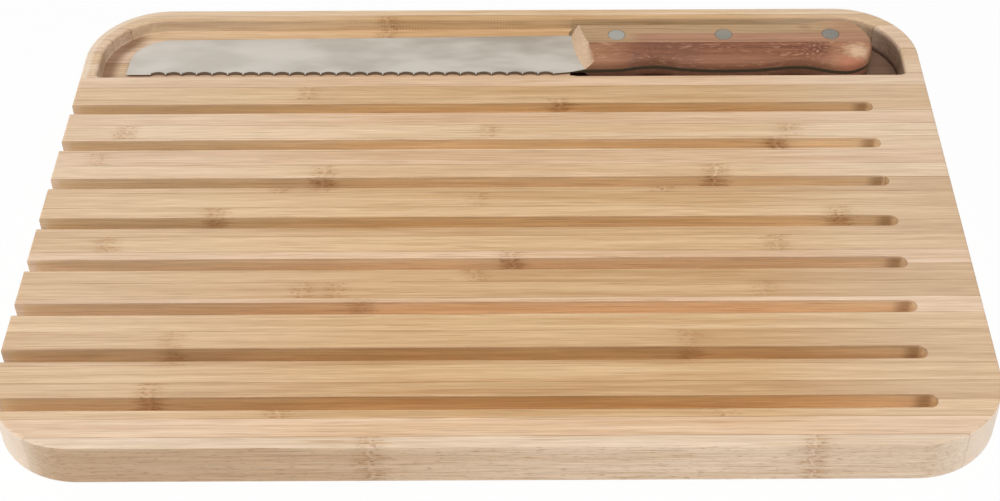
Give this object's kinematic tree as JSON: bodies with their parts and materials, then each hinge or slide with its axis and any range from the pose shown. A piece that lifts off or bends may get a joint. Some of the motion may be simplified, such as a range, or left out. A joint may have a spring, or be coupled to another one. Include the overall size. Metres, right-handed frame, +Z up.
{
  "type": "bread board with knife",
  "caption": "Rectangular glued bamboo bread board with round corners, long crumb grooves open at one end, and a routed pocket holding a riveted serrated bread knife that lifts out.",
  "frame": {"origin": "centre of the board's underside, on the surface that the board lies on", "axes": "+X along the grooves towards their closed round ends, +Y from the front edge towards the knife pocket, +Z up"},
  "size_m": [0.38, 0.268, 0.0223],
  "materials": {
    "board_bamboo": "pale honey bamboo, oiled, with fine long grain and glue lines",
    "handle_wood": "warmer reddish bamboo, smooth, with end grain at the front bevel",
    "blade_steel": "satin stainless steel with a brighter ground edge",
    "rivet_metal": "matt ground rivet heads flush with the handle"
  },
  "bodies": {
    "board": {"board_batten_01": "board_bamboo", "board_batten_02": "board_bamboo", "board_batten_03": "board_bamboo", "board_batten_04": "board_bamboo", "board_batten_05": "board_bamboo", "board_batten_06": "board_bamboo", "board_batten_07": "board_bamboo", "board_batten_08": "board_bamboo", "board_batten_09": "board_bamboo", "board_batten_10": "board_bamboo", "board_batten_11": "board_bamboo", "board_batten_12": "board_bamboo", "board_batten_13": "board_bamboo", "board_batten_14": "board_bamboo", "board_batten_15": "board_bamboo", "board_batten_16": "board_bamboo", "board_batten_17": "board_bamboo", "board_batten_18": "board_bamboo", "board_batten_19": "board_bamboo", "board_batten_20": "board_bamboo", "board_batten_21": "board_bamboo", "board_batten_22": "board_bamboo", "board_batten_23": "board_bamboo", "board_batten_24": "board_bamboo", "board_batten_25": "board_bamboo", "board_batten_26": "board_bamboo", "board_batten_27": "board_bamboo", "board_batten_28": "board_bamboo", "board_batten_29": "board_bamboo", "board_batten_30": "board_bamboo", "board_batten_31": "board_bamboo"},
    "knife": {"blade": "blade_steel", "scale_upper": "handle_wood", "scale_lower": "handle_wood", "rivet_1": "rivet_metal", "rivet_2": "rivet_metal", "rivet_3": "rivet_metal"}
  },
  "joints": [
    {"name": "knife_lift", "type": "slide", "parent": "board", "child": "knife", "axis": [0, 0, 1], "range_m": [0, 0.08]}
  ]
}
